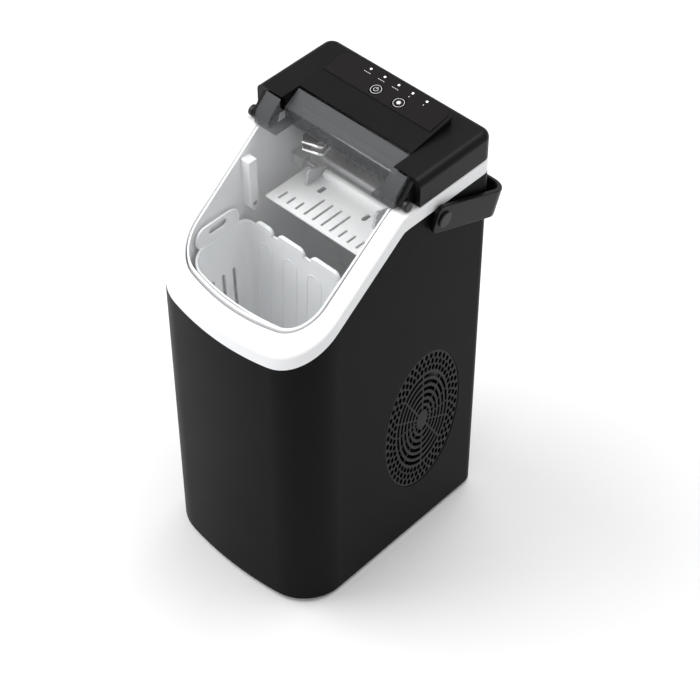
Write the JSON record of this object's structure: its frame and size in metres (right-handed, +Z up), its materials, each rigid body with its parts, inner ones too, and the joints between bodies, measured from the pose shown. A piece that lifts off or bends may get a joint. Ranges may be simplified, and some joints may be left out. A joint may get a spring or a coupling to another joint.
{
  "type": "countertop ice maker",
  "caption": "Upright countertop ice maker: black casing, sloping white rim round an open-looking ice bin with clear lid, slotted basket, tilting shovel, raised control wedge, strap handle.",
  "frame": {"origin": "on the resting surface, under the middle of the casing's width and the middle between its front and rear planes", "axes": "+Z up, front of the machine towards -Y, the side with the oval vent is +X"},
  "size_m": [0.223, 0.2807, 0.4946],
  "materials": {
    "casing": "satin, lightly textured black",
    "cover": "fine-grained black plastic",
    "rim": "smooth white plastic",
    "liner": "white, slightly blue-grey",
    "clear": "clear plastic window, thin",
    "smoked": "smoked translucent plastic",
    "overlay": "glossy dark brown-black",
    "black_part": "black",
    "basket": "white, slightly translucent",
    "pusher": "white",
    "grey_part": "light grey",
    "shield": "mid grey",
    "plate": "bright nickel plating",
    "steel": "plain steel",
    "zinc": "galvanised steel",
    "can": "black enamel",
    "copper": "drawn copper",
    "aluminium": "thin rolled fins",
    "foam": "rigid yellow foam",
    "board": "green circuit board",
    "rubber": "black rubber",
    "hose": "pale silicone",
    "lamp": "milky white",
    "fan_part": "dark grey"
  },
  "bodies": {
    "machine": {"base_pan": "zinc", "bin_liner": "liner", "compressor": "can", "compressor_grommets": "rubber", "condenser": "aluminium", "control_board": "board", "control_overlay": "overlay", "cord_gland": "black_part", "defrost_valve": "zinc", "drain_hose": "hose", "drain_spout": "black_part", "evaporator": "plate", "evaporator_shield": "shield", "evaporator_tubes": "plate", "fan_motor": "can", "fan_shroud": "fan_part", "filter_drier": "copper", "foot_front_left": "rubber", "foot_front_right": "rubber", "foot_rear_left": "rubber", "foot_rear_right": "rubber", "handle_pivot_left": "black_part", "handle_pivot_right": "black_part", "hinge_pin_left": "black_part", "hinge_pin_right": "black_part", "ice_full_sensor": "black_part", "indicator_lenses": "lamp", "inner_cover": "grey_part", "insulation": "foam", "left_intake_grille": "cover", "outer_shell": "casing", "power_board": "board", "pump_hose": "hose", "rear_panel": "casing", "rear_panel_screws": "steel", "refrigerant_lines": "copper", "rim_frame": "rim", "rod_bearings": "grey_part", "shield_rail": "plate", "side_vent_grille": "cover", "terminal_cover": "black_part", "top_cover": "cover", "tray_bearing": "grey_part", "tray_gear_motor": "grey_part", "tube_bracket": "black_part", "water_inlet": "hose", "water_pump": "black_part"},
    "lid": {"lid_window": "clear", "lid_frame": "smoked"},
    "handle": {"carry_handle": "cover"},
    "basket": {"ice_basket": "basket"},
    "tray": {"water_tray": "grey_part"},
    "pusher": {"ice_pusher": "pusher", "pusher_rod": "steel", "pusher_arm_left": "grey_part", "pusher_arm_right": "grey_part"},
    "fan": {"fan_rotor": "fan_part"},
    "power_key": {"power_button": "overlay"},
    "select_key": {"select_button": "overlay"},
    "plug": {"drain_plug": "rubber"}
  },
  "joints": [
    {"name": "lid_hinge", "type": "hinge", "parent": "machine", "child": "lid", "pos_m": [0, 0.019, 0.46], "axis": [-1, 0, 0], "range_deg": [0, 80]},
    {"name": "handle_swing", "type": "hinge", "parent": "machine", "child": "handle", "pos_m": [0, 0.056, 0.428], "axis": [1, 0, 0], "range_deg": [0, 112]},
    {"name": "basket_lift", "type": "slide", "parent": "machine", "child": "basket", "axis": [0, 0, 1], "range_m": [0, 0.005]},
    {"name": "tray_tilt", "type": "hinge", "parent": "machine", "child": "tray", "pos_m": [0, 0.084, 0.404], "axis": [1, 0, 0], "range_deg": [0, 45]},
    {"name": "pusher_tilt", "type": "hinge", "parent": "machine", "child": "pusher", "pos_m": [0, 0.056, 0.393], "axis": [1, 0, 0], "range_deg": [0, 22.5]},
    {"name": "fan_spin", "type": "hinge", "parent": "machine", "child": "fan", "pos_m": [0.08, 0.044, 0.162], "axis": [1, 0, 0], "continuous": true},
    {"name": "power_press", "type": "slide", "parent": "machine", "child": "power_key", "axis": [0, 0.146, -0.9893], "range_m": [0, 0.0008], "stiffness_N_per_m": 300},
    {"name": "select_press", "type": "slide", "parent": "machine", "child": "select_key", "axis": [0, 0.146, -0.9893], "range_m": [0, 0.0008], "stiffness_N_per_m": 300},
    {"name": "plug_pull", "type": "slide", "parent": "machine", "child": "plug", "axis": [0, 1, 0], "range_m": [0, 0.014]}
  ],
  "couplings": [
    {"joint": "pusher_tilt", "follows": "tray_tilt", "ratio": 0.5}
  ]
}
